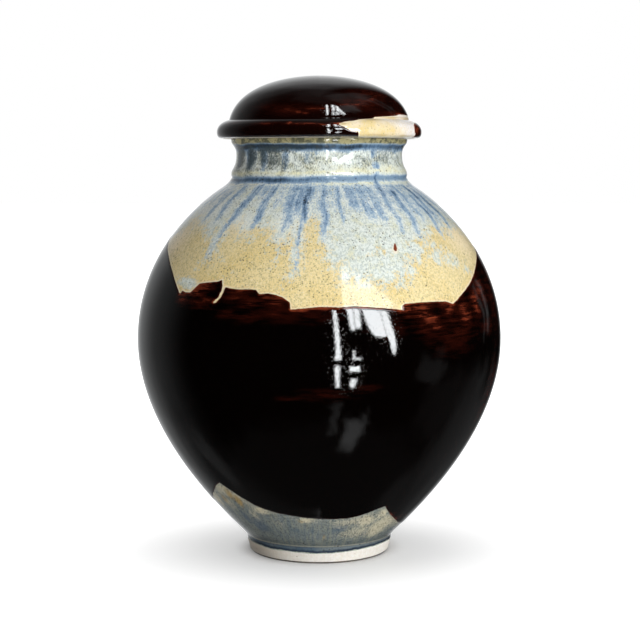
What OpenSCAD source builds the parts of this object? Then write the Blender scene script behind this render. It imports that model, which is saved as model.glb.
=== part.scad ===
// Lidded stoneware jar, thrown on a wheel: a round-bellied pot on a turned foot, with a beaded
// collar round its neck, and a domed cap lid that rests on the rim and is located by a ring inside it.
// Millimetres, +Z up. The origin is the centre of the foot, on the surface that the jar stands on.

/* [Pot] */
// Widest diameter of the belly
belly_d = 214; // [200:1:240]
// Height of the widest line of the belly
belly_h = 126; // [112:1:136]
// Diameter at the top of the shoulder, where it meets the collar
shoulder_d = 112.4; // [110:0.2:118]
// Height of the pot to its rim
pot_h = 243; // [232:1:260]
// Thickness of the wall
wall_t = 5.5; // [4:0.5:7]
// Thickness of the floor above the hollow of the foot
floor_t = 6.5; // [5:0.5:9]

/* [Foot] */
// Diameter of the foot where it stands
foot_d = 82.8; // [76:0.2:88]
// Height of the foot, up to the arris where the wall leaves it
foot_h = 10.4; // [9:0.2:12]
// How much the bare clay of the foot widens on each side by its top
foot_flare = 1.4; // [0.6:0.2:2]
// How much the glazed cove above the bare clay widens on each side
foot_cove = 1; // [0.8:0.2:2.4]
// Width of the ring that the pot stands on
foot_ring_w = 7; // [5:0.5:9]
// Depth of the hollow turned into the foot
foot_recess = 4.5; // [3:0.5:6]
// Bevel turned along the lower edge of the foot
foot_bevel = 0.8; // [0.4:0.2:1.4]

/* [Neck] */
// Height of the neck, from the line cut under the collar to the rim
neck_h = 23; // [21:0.2:28]
// Depth of that line
cut_line = 0.4; // [0.2:0.1:0.7]
// Diameter of the bead at the bottom of the collar
bead_d = 103.6; // [101:0.2:105]
// Height of the bead's crest above the line under it
bead_h = 2.2; // [1.8:0.2:3.6]
// Smallest diameter of the neck, in the hollow of the collar
neck_d = 97.6; // [96:0.2:99]
// Depth of that narrowest line below the rim
hollow_depth = 9; // [8:0.5:11]
// Diameter of the rim
rim_d = 103.2; // [100:0.2:106]
// Height of the upright edge of the rim
rim_h = 1.6; // [1.4:0.2:3]
// Diameter of the mouth
mouth_d = 87; // [83:1:89]
// Radius of the rounded edges of the rim
rim_round = 0.9; // [0.5:0.1:1.2]

/* [Lid] */
// Diameter of the lid's flange
flange_d = 119.6; // [114:0.2:130]
// Height of the flange, from its seat to the groove under the dome
flange_h = 10.8; // [9:0.2:13]
// Height of the flange's widest line above the seat
flange_bulge_h = 3.8; // [3:0.2:4.4]
// How far the flat seat stops short of the flange's edge
seat_margin = 4.4; // [3:0.2:5]
// Diameter of the dome at the groove
dome_d = 105.2; // [98:0.2:110]
// Height of the dome above the groove
dome_h = 25.8; // [20:0.2:36]
// Thickness of the lid's wall
lid_t = 5; // [4:0.5:6]
// Depth of the ring that reaches into the mouth
ring_depth = 9; // [6:0.5:14]
// Thickness of that ring
ring_t = 4.5; // [3.5:0.5:6]

/* [Fit] */
// Gap all round between the lid's ring and the mouth
lid_clearance = 1.2; // [0.6:0.1:2]

/* [Glaze] */
// Height of the bare clay band on the foot
bare_h = 6.2; // [5:0.1:7.5]
// Height at which the pale glaze at the bottom meets the dark pour
dark_from_h = 40; // [30:1:60]
// Height at which the dark pour ends below the pale shoulder
dark_to_h = 158; // [140:1:170]

/* [Hidden] */
$fn = 180;

// Steps along a long curve and along a short one
long_steps = 22;
short_steps = 8;

foot_r = foot_d / 2;
bare_top_r = foot_r + foot_flare;
foot_top_r = bare_top_r + foot_cove;
belly_r = belly_d / 2;
shoulder_r = shoulder_d / 2;
collar_h = pot_h - neck_h;
mouth_r = mouth_d / 2;
rim_r = rim_d / 2;
floor_h = foot_recess + floor_t;
// Height from the cut line under the collar down to the start of the shoulder
collar_root = 4.5;
// Angles from upright at which the wall leaves the foot, the shoulder reaches the collar
// and the root of the collar reaches its cut line
wall_angle = 46;
shoulder_angle = -57;
root_angle = -24;
// Angles from upright at the two ends of the foot's cove
cove_angle = 8;
arris_angle = 38;
// Pulls of the curves' two ends, as shares of the distance between them
wall_shares = [0.33, 0.33];
shoulder_shares = [0.42, 0.275];
cove_shares = [0.4, 0.3];
root_shares = [0.2, 0.33];
bead_shares = [0.4, 0.5];
collar_shares = [0.34, 0.67];
hollow_shares = [0.6, 0.31];
throat_shares = [0.45, 0.4];
floor_shares = [0.35, 0.35];
flange_shares = [0.5, 0.55];
brim_shares = [0.31, 0.48];
lip_shares = [0.45, 0.45];
dome_shares = [0.415, 0.18];
inside_shares = [0.42, 0.4];
// Angles from upright along the lid's outline
flange_angle = -78;
dome_angle = -14;
level = 90;

ring_r = mouth_r - lid_clearance;
flange_r = flange_d / 2;
dome_r = dome_d / 2;
groove_h = pot_h + flange_h;
lid_top = groove_h + dome_h;
// Rounding of the ring's lower edges
ring_round = ring_t / 4;

temmoku = "#1c0d08";
ash_glaze = "#b9b79a";
ash_blue = "#7d8c99";
bare_clay = "#d9c8b2";

// Direction of a line that leans outwards from upright by an angle
function heading(angle) = [sin(angle), cos(angle)];

// Curve between two stations, each [radius, height, angle from upright]
function curve(from, to, shares, steps) =
    let (start = [from.x, from.y], end = [to.x, to.y], gap = norm(end - start),
         pull = start + shares[0] * gap * heading(from.z),
         push = end - shares[1] * gap * heading(to.z))
    [for (i = [0:steps]) let (t = i / steps)
        pow(1 - t, 3) * start + 3 * pow(1 - t, 2) * t * pull + 3 * (1 - t) * pow(t, 2) * push
        + pow(t, 3) * end];

// The same line moved inwards by a wall's thickness, for a line that runs upwards outside the wall
function inside(points, thickness) =
    let (last = len(points) - 1)
    [for (i = [0:last])
        let (along = points[min(i + 1, last)] - points[max(i - 1, 0)])
        points[i] - thickness * [along.y, -along.x] / norm(along)];

function reversed(points) = [for (i = [len(points) - 1:-1:0]) points[i]];

// Wall and shoulder of the pot, from the foot's top to the collar
body_line = concat(
    curve([foot_top_r, foot_h, wall_angle], [belly_r, belly_h, 0], wall_shares, long_steps),
    curve([belly_r, belly_h, 0], [shoulder_r, collar_h - collar_root, shoulder_angle],
        shoulder_shares, long_steps));

// Collar from the cut line, over the bead and through the hollow, to the rim
bead_r = bead_d / 2;
neck_r = neck_d / 2;
collar_line = concat(
    curve([shoulder_r, collar_h - collar_root, shoulder_angle], [bead_r, collar_h, root_angle],
        root_shares, short_steps),
    curve([bead_r - cut_line, collar_h + cut_line, 0], [bead_r, collar_h + bead_h, 0],
        bead_shares, short_steps),
    curve([bead_r, collar_h + bead_h, 0], [neck_r, pot_h - hollow_depth, 0],
        collar_shares, short_steps),
    curve([neck_r, pot_h - hollow_depth, 0], [rim_r, pot_h - rim_h, 0], hollow_shares, short_steps));

// Flat-topped rim with both edges rounded
rim_line = concat(
    curve([rim_r, pot_h - rim_round, 0], [rim_r - rim_round, pot_h, -level], lip_shares, short_steps),
    curve([mouth_r + rim_round, pot_h, -level], [mouth_r, pot_h - rim_round, -2 * level],
        lip_shares, short_steps));

// Inside of the pot, from the floor up to the mouth
inner_body = inside(body_line, wall_t);
inner_last = inner_body[len(inner_body) - 1];
inner_first = inner_body[0];
// How far out the floor stays level, as a share of the radius where the wall begins
floor_share = 0.72;
inner_line = concat(
    [[0, floor_h]],
    curve([inner_first.x * floor_share, floor_h, level],
        [inner_first.x, inner_first.y, wall_angle], floor_shares, short_steps),
    inner_body,
    curve([inner_last.x, inner_last.y, shoulder_angle], [mouth_r, collar_h + bead_h, 0],
        throat_shares, short_steps));

// Underside of the foot: the ring it stands on and the hollow inside the ring
foot_line = [
    [0, foot_recess],
    [foot_r - foot_ring_w - foot_recess / 2, foot_recess],
    [foot_r - foot_ring_w, foot_bevel],
    [foot_r - foot_ring_w + foot_bevel, 0],
    [foot_r - foot_bevel, 0],
    [foot_r, foot_bevel]];

// Glazed cove between the bare clay and the wall
cove_line = curve([bare_top_r, bare_h, cove_angle], [foot_top_r, foot_h, arris_angle],
    cove_shares, short_steps);

module pot_section() {
    polygon(concat(foot_line, cove_line, body_line, collar_line, rim_line, reversed(inner_line)));
}

// The fired surface shows bare clay at the foot, a dark pour round the belly and pale ash glaze
module glaze_band(from_h, to_h) {
    intersection() {
        pot_section();
        translate([0, from_h]) square([belly_d, to_h - from_h]);
    }
}

module pot() {
    color(bare_clay) rotate_extrude() glaze_band(0, bare_h);
    color(ash_blue) rotate_extrude() glaze_band(bare_h, dark_from_h);
    color(temmoku) rotate_extrude() glaze_band(dark_from_h, dark_to_h);
    color(ash_glaze) rotate_extrude() glaze_band(dark_to_h, pot_h);
}

// Outside of the lid: rounded flange, groove and dome
lid_outer = concat(
    curve([flange_r - seat_margin, pot_h, level], [flange_r, pot_h + flange_bulge_h, 0],
        flange_shares, short_steps),
    curve([flange_r, pot_h + flange_bulge_h, 0], [dome_r, groove_h, flange_angle],
        brim_shares, short_steps),
    curve([dome_r, groove_h, dome_angle], [0, lid_top, -level], dome_shares, long_steps));

// Hollow of the lid, from the crown down through the ring
ring_inner_r = ring_r - ring_t;
// How far the hollow's side stands back from an even wall
hollow_step = 3;
lid_inner = concat(
    curve([0, lid_top - lid_t, level], [dome_r - lid_t - hollow_step, groove_h, 2 * level],
        inside_shares, long_steps),
    curve([dome_r - lid_t - hollow_step, groove_h, 2 * level], [ring_inner_r, pot_h, 2 * level],
        inside_shares, short_steps),
    [[ring_inner_r, pot_h - ring_depth + ring_round],
     [ring_inner_r + ring_round, pot_h - ring_depth],
     [ring_r - ring_round, pot_h - ring_depth],
     [ring_r, pot_h - ring_depth + ring_round],
     [ring_r, pot_h]]);

module lid() {
    color(temmoku) rotate_extrude() polygon(concat(lid_inner, lid_outer));
}

pot();
lid();
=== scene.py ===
import math

import bmesh
import bpy
import numpy as np
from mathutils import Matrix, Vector


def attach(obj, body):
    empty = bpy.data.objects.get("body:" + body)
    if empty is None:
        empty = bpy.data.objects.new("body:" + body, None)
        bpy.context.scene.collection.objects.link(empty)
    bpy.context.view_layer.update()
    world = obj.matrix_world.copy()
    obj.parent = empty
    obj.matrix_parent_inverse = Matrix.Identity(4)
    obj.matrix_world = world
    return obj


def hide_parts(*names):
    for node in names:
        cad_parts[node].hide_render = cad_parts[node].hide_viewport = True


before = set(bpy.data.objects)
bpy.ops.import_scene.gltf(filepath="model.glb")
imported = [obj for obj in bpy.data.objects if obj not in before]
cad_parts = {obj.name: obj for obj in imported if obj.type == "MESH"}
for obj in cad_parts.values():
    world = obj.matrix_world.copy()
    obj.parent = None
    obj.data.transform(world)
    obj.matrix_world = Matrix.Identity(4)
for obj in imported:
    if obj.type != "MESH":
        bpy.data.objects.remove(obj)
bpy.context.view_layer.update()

# The pot is one piece of pale stoneware, thrown hollow on a wheel. Belly and shoulder are one long
# curve, the collar was pressed in with a rib below the rim, and the foot was turned when the clay
# was leather hard. Radii are from the jar's axis, heights from the table, angles from upright.
MM = 0.001
TURN = 2 * math.pi
LEVEL = 90
foot_r, foot_bevel, foot_ring, foot_hollow = 41.4 * MM, 0.8 * MM, 7 * MM, 4.5 * MM
ring_inside_r, hollow_mid_r = foot_r - foot_ring, 22 * MM
bare_top = (42.8 * MM, 6.2 * MM, 8)
arris_r, arris_h, cove_angle, wall_angle = 43.8 * MM, 10.4 * MM, 38, 46
belly = (107 * MM, 126 * MM, 0)
shoulder = (56.2 * MM, 215.5 * MM, -57)
cut, cut_depth = (51.8 * MM, 220 * MM, -24), 0.4 * MM
bead = (51.8 * MM, 222.2 * MM, 0)
neck = (48.8 * MM, 234 * MM, 0)
rim_r, mouth_r, rim_round, rim_edge, pot_top = 51.6 * MM, 43.5 * MM, 0.9 * MM, 1.6 * MM, 243 * MM
pot_wall, floor_top, floor_share, floor_mid_r = 5.5 * MM, 11 * MM, 0.72, 20 * MM
# Pulls and steps of the curves that round the rim's two edges
lip = ((0.45, 0.45), 6)
# Steps round the jar, steps along its wall before they are spread evenly, and the height up to
# which the wall's points lie further apart
steps_round, wall_steps, coarse_top = 240, 900, 130 * MM


def curve(start, end, shares, steps=240):
    """Thrown curve between two stations, each a radius, a height and an angle."""
    a, b = np.array(start[:2]), np.array(end[:2])
    gap = np.linalg.norm(b - a)
    leave, arrive = (np.array([math.sin(lean), math.cos(lean)])
                     for lean in (math.radians(start[2]), math.radians(end[2])))
    pull, push = a + shares[0] * gap * leave, b - shares[1] * gap * arrive
    t = np.linspace(0, 1, steps + 1)[:, None]
    return (1 - t) ** 3 * a + 3 * (1 - t) ** 2 * t * pull + 3 * (1 - t) * t**2 * push + t**3 * b


def lengths(line):
    """Length along an outline at each of its points."""
    return np.append(0, np.cumsum(np.linalg.norm(np.diff(line, axis=0), axis=1)))


def even(line, spacing):
    """The same outline with its points spread evenly, about a spacing apart."""
    run = lengths(line)
    stops = np.linspace(0, run[-1], max(2, round(run[-1] / spacing) + 1))
    return np.column_stack([np.interp(stops, run, line[:, k]) for k in (0, 1)])


def inwards(line):
    """Direction into the wall at each point of an outline that runs up the outside."""
    along = np.gradient(line, axis=0)
    along /= np.linalg.norm(along, axis=1)[:, None]
    return np.column_stack([-along[:, 1], along[:, 0]])


def between(line, low, high):
    """The stretch of a rising outline between two heights."""
    return line[(line[:, 1] >= low) & (line[:, 1] <= high)]


body = np.vstack([curve((arris_r, arris_h, wall_angle), belly, (0.33, 0.33), wall_steps),
                  curve(belly, shoulder, (0.42, 0.275), wall_steps)[1:]])
inner_body = body + pot_wall * inwards(body)
pot_outline = np.vstack([
    [[0, foot_hollow], [hollow_mid_r, foot_hollow], [ring_inside_r - foot_hollow / 2, foot_hollow],
     [ring_inside_r, foot_bevel], [ring_inside_r + foot_bevel, 0],
     [foot_r - foot_bevel, 0], [foot_r, foot_bevel]],
    even(np.array([[foot_r, foot_bevel], bare_top[:2]]), 1.2 * MM)[1:],
    even(curve(bare_top, (arris_r, arris_h, cove_angle), (0.4, 0.3)), 0.45 * MM)[1:],
    even(between(body, arris_h, coarse_top), 2.1 * MM)[1:],
    even(between(body, coarse_top, shoulder[1]), 1.8 * MM)[1:],
    even(curve(shoulder, cut, (0.2, 0.33)), 0.6 * MM)[1:],
    even(curve((cut[0] - cut_depth, cut[1] + cut_depth, 0), bead, (0.4, 0.5)), 0.5 * MM),
    even(curve(bead, neck, (0.34, 0.67)), 0.7 * MM)[1:],
    even(curve(neck, (rim_r, pot_top - rim_edge, 0), (0.6, 0.31)), 0.7 * MM)[1:],
    curve((rim_r, pot_top - rim_round, 0), (rim_r - rim_round, pot_top, -LEVEL), *lip),
    curve((mouth_r + rim_round, pot_top, -LEVEL), (mouth_r, pot_top - rim_round, -2 * LEVEL), *lip),
    even(curve((*inner_body[-1], shoulder[2]), (mouth_r, bead[1], 0), (0.45, 0.4)), 2 * MM)[::-1],
    even(inner_body, 6 * MM)[-2::-1],
    even(curve((inner_body[0][0] * floor_share, floor_top, LEVEL), (*inner_body[0], wall_angle),
               (0.35, 0.35)), 4 * MM)[-2::-1],
    [[floor_mid_r, floor_top], [0, floor_top]]])
pot_run = lengths(pot_outline)


def run_at(outline, run, radius, height):
    """Length along an outline at its point nearest to a radius and height."""
    return run[np.argmin(np.hypot(outline[:, 0] - radius, outline[:, 1] - height))]


clay_run = run_at(pot_outline, pot_run, *bare_top[:2])
arris_run = run_at(pot_outline, pot_run, arris_r, arris_h)
rim_run = run_at(pot_outline, pot_run, rim_r - rim_round, pot_top)
throat_run = run_at(pot_outline, pot_run, mouth_r, bead[1])
outer_part = (pot_run >= clay_run) & (pot_run <= rim_run)


def spun(outline):
    """Closed shell turned from an outline that starts and ends on the axis. Each vertex keeps its
    length along the outline."""
    bm = bmesh.new()
    run = bm.verts.layers.float.new("run")
    verts = []
    for (radius, height), length in zip(outline, lengths(outline)):
        verts.append(bm.verts.new((0, -radius, height)))
        verts[-1][run] = length
    edges = [bm.edges.new(pair) for pair in zip(verts[:-1], verts[1:])]
    bmesh.ops.spin(bm, geom=verts + edges, cent=(0, 0, 0), axis=(0, 0, 1), angle=TURN,
                   steps=steps_round, use_merge=True)
    bmesh.ops.remove_doubles(bm, verts=bm.verts, dist=0.01 * MM)
    return bm


def whereabouts(bm):
    """Degrees round the jar, nought at the front and positive to the right, and outline lengths."""
    bm.verts.index_update()
    layer = bm.verts.layers.float["run"]
    co = np.array([v.co[:] for v in bm.verts])
    return np.degrees(np.arctan2(co[:, 0], -co[:, 1])), np.array([v[layer] for v in bm.verts])


def edge_distance(points, angles, run, outline, outline_run, wrap=(-360, 0, 360)):
    """Distance over the surface in millimetres to an edge given by degrees and heights, positive
    below an edge that goes round the jar, or inside one that closes."""
    radii = np.interp(run, outline_run, outline[:, 0])
    points = np.array([(a + k, h) for k in wrap for a, h in points])
    xs, vs = np.radians(points[:, 0]), np.interp(points[:, 1] * MM, outline[:, 1], outline_run)
    here = np.radians(angles)
    nearest, above = np.full(len(run), 1.0), np.zeros(len(run), int)
    # In radians: an edge beyond this is never the nearest one.
    past_back = 4
    for xa, va, xb, vb in zip(xs[:-1], vs[:-1], xs[1:], vs[1:]):
        if max(xa, xb) < -past_back or min(xa, xb) > past_back or (xa, va) == (xb, vb):
            continue
        ex, ev, dx, dv = (xb - xa) * radii, vb - va, (here - xa) * radii, run - va
        t = np.clip((dx * ex + dv * ev) / (ex * ex + ev * ev), 0, 1)
        nearest = np.minimum(nearest, np.hypot(dx - t * ex, dv - t * ev))
        if xa != xb:
            above += ((xa <= here) != (xb <= here)) & (va + (here - xa) / (xb - xa) * ev > run)
    return np.where(above % 2 == 1, nearest, -nearest) / MM


# The dark glaze was poured over the pale one from a ladle in four overlapping panels, so its upper
# and lower edges are scalloped. Points are degrees round the jar and heights in millimetres.
pour_top = [
    (-180, 166), (-172, 166.6), (-165, 165.8), (-158, 164.6), (-152.6, 162), (-149.4, 159.2),
    (-146.8, 157.4), (-144.8, 160.2), (-140.4, 166.4), (-134.6, 172.4), (-128, 177.6),
    (-120.6, 182.4), (-112, 186.2), (-104, 188.2), (-96, 188.8), (-90, 188), (-84, 186),
    (-78, 183.3), (-73, 180.7), (-65.5, 176.5), (-57.5, 169.5), (-52, 162.5), (-48.6, 157.6),
    (-47.8, 159.6), (-46, 158.7), (-43.7, 159), (-42.4, 161.3), (-40.8, 164), (-36.4, 165),
    (-33.6, 165.5), (-32, 166.6), (-31.4, 163.5), (-31.3, 160.5), (-32, 157.6), (-33.6, 154.6),
    (-33.5, 154), (-32.6, 154.6), (-31.2, 157.2), (-30.5, 160.5), (-30.3, 162.9), (-28, 162.3),
    (-25.8, 162), (-21, 162.2), (-19.4, 161.9), (-18.3, 159.8), (-15.5, 160.3), (-13.2, 159.8),
    (-10.7, 158.2), (-8.7, 156), (-8.4, 152.2), (-5.5, 152.7), (0, 153.7), (6, 153.4), (10, 153.9),
    (14.5, 153.3), (19.5, 152.5), (25.2, 151.2), (25.3, 153.4), (26.4, 154.3), (32, 154.7),
    (38, 154.5), (42, 154.3), (44.9, 152.6), (50.4, 157.3), (58, 163.5), (65.5, 170), (70, 173.2),
    (75, 176.2), (82, 179.4), (90, 181.4), (98, 182.1), (106, 181), (114.4, 178), (121.8, 173.6),
    (127.6, 168.4), (132.4, 163.2), (136, 158.8), (138.5, 156), (141.6, 159.8), (146.2, 162.6),
    (152.4, 164.8), (160, 165.3), (170, 166.2), (180, 166)]
pour_foot = [
    (-180, 29.5), (-172, 29.7), (-165, 31), (-158, 33.6), (-151.6, 37.6), (-147, 41.4), (-143, 45),
    (-139.6, 41.8), (-134.6, 38.2), (-128, 34.4), (-120, 31.2), (-110, 28.4), (-100, 27.2),
    (-90, 27.9), (-80, 30), (-72, 33), (-64, 37), (-55, 43), (-50.2, 47), (-46, 49.6), (-42, 46.2),
    (-38.8, 43.2), (-35, 40.4), (-31.8, 37.8), (-27, 35.8), (-24.2, 34.9), (-20, 33.6),
    (-16.4, 33.1), (-8, 31.7), (0, 30.9), (7, 30.6), (14.5, 30.7), (20, 31.9), (25, 33.6),
    (29, 35.6), (33, 36.9), (34.6, 35), (37, 32.8), (39, 31), (41.5, 29.2), (46, 26.4),
    (53.6, 22.6), (61.4, 19.8), (70, 18), (80, 17), (90, 17.2), (100, 19), (110, 22.4),
    (119.4, 27.4), (127.6, 33), (134.4, 38), (140, 42), (144.4, 38.8), (150, 35.6), (157.2, 32.6),
    (165, 30.9), (173, 29.9), (180, 29.5)]
splash_at, splash_size, splash_lean = (27.6, 184.2), (1.5, 3.0), 0.7
# Distance in millimetres that stands for clear of the dark glaze
CLEAR = -40


def pour_distance(angles, run):
    """Distance in millimetres inside the edge of the dark pour, negative outside it."""
    line, line_run = pot_outline[outer_part], pot_run[outer_part]
    place = (angles, run, line, line_run)
    inside = np.minimum(edge_distance(pour_top, *place), -edge_distance(pour_foot, *place))
    # One splash of the dark glaze landed on the shoulder and had begun to run, wider at its end.
    down = (np.interp(splash_at[1] * MM, line[:, 1], line_run) - run) / MM / splash_size[1]
    across = np.radians(angles - splash_at[0]) * np.interp(run, line_run, line[:, 0]) / MM
    width = splash_size[0] * np.clip(0.62 + 0.42 * down, 0.15, 1)
    splash = (1 - np.hypot((across + splash_lean * down) / width, down)) * splash_size[0]
    inside = np.maximum(inside, splash)
    return np.where((run > clay_run) & (run < rim_run), inside, CLEAR)


def refine(bm, distance, reaches):
    """Makes the mesh finer close to a pour's edge, where the second coat stands proud."""
    for reach in reaches:
        close = np.abs(distance(*whereabouts(bm))) < reach
        edges = [e for e in bm.edges if close[e.verts[0].index] and close[e.verts[1].index]]
        bmesh.ops.subdivide_edges(bm, edges=edges, cuts=1, use_grid_fill=True)


def kept(bm, name):
    """A mesh of the given name that holds what the bmesh held."""
    mesh = bpy.data.meshes.new(name)
    bm.to_mesh(mesh)
    bm.free()
    return mesh


def closed_shell(bm, name, outline, outline_run):
    """The shell's mesh, and the bearing, outline length, radius and height of each vertex."""
    bmesh.ops.recalc_face_normals(bm, faces=bm.faces)
    angles, run = whereabouts(bm)
    radii, heights = (np.interp(run, outline_run, outline[:, k]) for k in (0, 1))
    return kept(bm, name), angles, run, radii, heights


def soft(places, angles, run, outline, outline_run):
    """Soft marks, each at degrees and a height, with half sizes round and along in millimetres and
    a strength."""
    radii = np.interp(run, outline_run, outline[:, 0])
    marks = np.zeros(len(run))
    for angle, height, wide, tall, strength in places:
        across = np.radians((angles - angle + 180) % 360 - 180) * radii / MM
        along = (run - np.interp(height * MM, outline[:, 1], outline_run)) / MM
        shape = np.exp(-((across / wide) ** 2) - (along / tall) ** 2)
        marks = np.maximum(marks, strength * shape)
    return marks


def wavy(angles, seed, cycles, size):
    """Slow wander round the jar that closes on itself."""
    draw = np.random.default_rng(seed)
    return sum(size / len(cycles) ** 0.5 * np.sin(np.radians(angles) * c + draw.uniform(0, TURN))
               for c in cycles)


def held(value):
    """A value kept between nought and one."""
    return np.clip(value, 0, 1)


def band(at, middle, width):
    """A soft band, one at its middle."""
    return np.exp(-(((at - middle) / width) ** 2))


def level(table, at, column=1):
    """What a table gives at each place. Its first column says where, and another how much."""
    table = np.array(table)
    return np.interp(at, table[:, 0], table[:, column])


# Runs of blue where the pale glaze is thick: degrees and height where each starts and ends, half
# width in millimetres and strength. The first ones are on the neck.
blue_runs = [
    (-72, 240, -68, 224, 3.4, 0.7), (-55, 239, -51, 224, 4.4, 1.2), (-40, 241, -38, 222, 2.2, 1.05),
    (-23, 241, -22, 223, 1.7, 1.0), (-8, 236, -7, 227, 2.0, 0.5), (-1.5, 238, -1.5, 232, 2.2, 0.4),
    (38, 239, 39, 231, 2.4, 0.95), (40.3, 229.3, 40.6, 225.4, 2.4, 1.15),
    (30, 243.5, 30, 239, 1.6, 0.9), (52, 244, 51, 237, 1.4, 1.3), (64, 240, 62, 233, 3.4, 0.9),
    (88, 240, 90, 226, 3.2, 1.0), (112, 240, 110, 228, 3.2, 0.9), (137, 240, 138, 224, 2.0, 1.1),
    (168, 240, 165, 226, 3.2, 1.0), (-159, 240, -160, 224, 2.0, 1.1),
    (-132, 240, -130, 227, 3.4, 1.1), (-104, 240, -106, 225, 2.4, 0.9),
    (-88, 240, -90, 228, 3.0, 0.9), (-66, 217, -64, 203, 2.8, 0.45),
    (-61, 217.5, -60, 203, 2.2, 0.5), (-56, 214, -57, 193, 2.3, 0.65),
    (-49, 217.5, -47.6, 194, 2.6, 0.75), (-36, 217.5, -38.5, 199, 2.8, 0.95),
    (-38.4, 206, -40, 184, 2.1, 0.7), (-40, 190, -42, 173, 2.0, 0.4),
    (-31, 217, -32, 208, 3.6, 0.5), (-26, 217.5, -27.2, 191, 2.4, 1.0),
    (-20.5, 217, -20, 202, 2.2, 0.4), (-13, 217.5, -13.4, 190, 3.2, 0.85),
    (-9.8, 217, -9.8, 198, 3.0, 0.75), (-5.6, 217.5, -7, 192, 2.1, 1.4),
    (-6.6, 200, -7.6, 180, 1.6, 0.6), (-7.4, 187, -8, 168, 1.6, 0.35),
    (2.4, 217.5, 2.0, 184, 2.6, 0.8), (9.7, 217.5, 9.2, 194, 2.0, 0.8),
    (16.5, 217, 17, 201, 4.8, 0.8), (22.6, 217, 22, 195, 3.6, 0.75), (28, 217, 27, 193, 3.8, 0.65),
    (39.6, 224, 35.4, 211.5, 1.5, 1.5), (35.6, 217, 35.2, 209, 2.8, 1.3),
    (34.4, 214, 33.4, 188, 2.0, 0.8), (42.6, 215, 40.8, 186, 2.2, 1.15),
    (48.6, 217.5, 48, 193, 2.6, 0.65), (55.8, 213, 54, 184.5, 1.9, 1.05),
    (59.6, 217.5, 59, 192, 2.6, 0.9), (66.4, 215, 65.4, 189, 2.0, 1.1),
    (74, 218, 73, 196, 3.6, 0.8), (82, 218, 80, 190, 2.6, 1.0), (90, 217, 91, 201, 3.4, 0.7),
    (98, 219, 97, 185, 2.4, 1.0), (107, 217, 106, 199, 3.4, 0.8), (114, 217, 115, 180, 2.2, 1.05),
    (124, 218, 123, 196, 3.4, 0.85), (131, 217, 132, 188, 2.2, 0.95),
    (141, 219, 142, 176, 2.3, 1.1), (150, 217, 150, 199, 4.0, 0.75), (158, 218, 159, 186, 2.2, 1.0),
    (168, 217, 167, 194, 3.4, 0.85), (177, 217, 178, 203, 3.8, 0.7),
    (-174, 219, -175, 183, 2.2, 1.1), (-164, 217, -163, 197, 3.4, 0.85),
    (-153, 217, -154, 190, 2.2, 0.95), (-145, 217, -144, 203, 4.0, 0.7),
    (-136, 219, -137, 181, 2.3, 1.1), (-126, 217, -125, 197, 3.4, 0.8),
    (-116, 218, -117, 187, 2.4, 1.0), (-106, 217, -105, 201, 3.6, 0.7),
    (-97, 219, -98, 184, 2.2, 1.05), (-88, 217, -87, 198, 3.4, 0.8), (-79, 218, -78, 190, 2.4, 0.9),
    (-72, 217, -71, 201, 3.2, 0.7)]


def blue_runs_at(angles, heights, radii):
    """Strength of the blue runs at each place. A run narrows downwards and fades at its end."""
    blue = np.zeros(len(angles))
    for a0, h0, a1, h1, wide, strength in blue_runs:
        share = held((h0 * MM - heights) / ((h0 - h1) * MM))
        off = (angles - (a0 + (a1 - a0) * share) + 180) % 360 - 180
        across = np.radians(off) * radii / (wide * MM * (1.15 - 0.5 * share))
        ends = held((h0 * MM + MM - heights) / (3 * MM)) * held((1 - share) / 0.35)
        blue = np.maximum(blue, strength * np.exp(-(np.abs(across) ** 1.7)) * ends)
    return blue


# How blue the pale glaze is at each height of the shoulder and neck
blue_levels = [
    (186, 0), (195, 0.04), (201, 0.14), (206, 0.25), (211, 0.32), (215, 0.35), (215.7, 0.3),
    (216.2, 0.6), (216.8, 0.25), (217.3, 0.0), (218.2, 0.15), (222.3, 0.1), (222.8, 0.0),
    (224.8, 0.0), (226, 0.05), (234, 0.12), (239.6, 0.2), (240.2, 0.0)]
# The glaze pooled in the lines under the rim and the bead: how deep each pool is at each height,
# and how strong the two are at each bearing. The pool under the bead climbs a little to the right.
rim_pool = [
    (234.4, 0), (235.4, 0.2), (236.2, 0.45), (236.9, 0.8), (237.6, 1), (238.4, 0.97), (239, 0.75),
    (239.5, 0.4), (240.1, 0)]
bead_pool = [
    (217.9, 0), (218.6, 0.35), (219.4, 0.8), (220.2, 1), (220.9, 1), (221.4, 0.75), (221.9, 0.35),
    (222.9, 0)]
pool_levels = [
    (-180, 1.8, 1.3), (-130, 2.0, 1.5), (-80, 1.7, 1.35), (-48, 1.95, 1.4), (-32, 2.2, 1.6),
    (-18, 2.05, 1.35), (-5, 2.0, 1.2), (6, 1.85, 0.98), (26, 1.75, 0.95), (40, 1.3, 0.95),
    (50, 1.4, 0.88), (65, 1.6, 1.0), (90, 1.8, 1.2), (180, 1.8, 1.3)]
bead_climb = [
    (-180, 0), (-60, -1.1), (-18, -1.0), (-5, -0.5), (6, 0), (50, 0.3), (110, 0.3), (180, 0)]
climb_from, climb_to = 214, 229
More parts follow.
